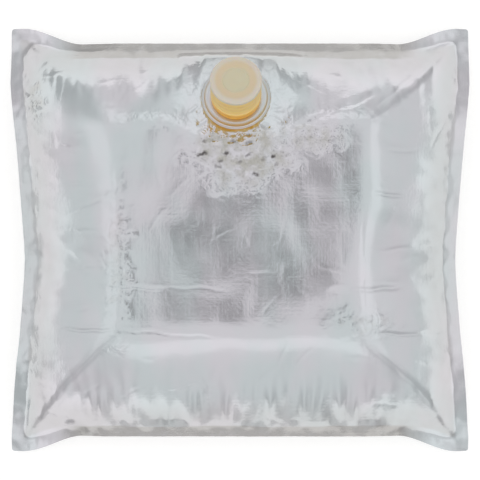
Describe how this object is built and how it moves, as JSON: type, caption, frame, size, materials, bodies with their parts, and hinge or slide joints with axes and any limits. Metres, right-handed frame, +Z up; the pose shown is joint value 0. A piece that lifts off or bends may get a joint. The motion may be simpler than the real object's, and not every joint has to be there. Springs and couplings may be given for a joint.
{
  "type": "bag-in-box liner bag",
  "caption": "Filled metallised film pouch for a bag-in-box pack, lying flat, with heat-sealed edges, a moulded spout near one end and a push-on cap that pulls off along the spout.",
  "frame": {"origin": "on the floor, under the middle of the lying bag", "axes": "+Z up through the bag's thickness, +X along its width, +Y along its length towards the end with the spout"},
  "size_m": [0.356, 0.329, 0.1074],
  "materials": {
    "metallised_film": "satin metallised plastic film, finely crumpled",
    "spout_plastic": "translucent amber moulded plastic, satin",
    "cap_plastic": "translucent amber moulded plastic, satin"
  },
  "bodies": {
    "filled_bag": {"bag": "metallised_film", "spout": "spout_plastic"},
    "cap": {"cap": "cap_plastic"}
  },
  "joints": [
    {"name": "cap_pull", "type": "slide", "parent": "filled_bag", "child": "cap", "axis": [0, 0.3256, 0.9455], "range_m": [0, 0.06]}
  ]
}
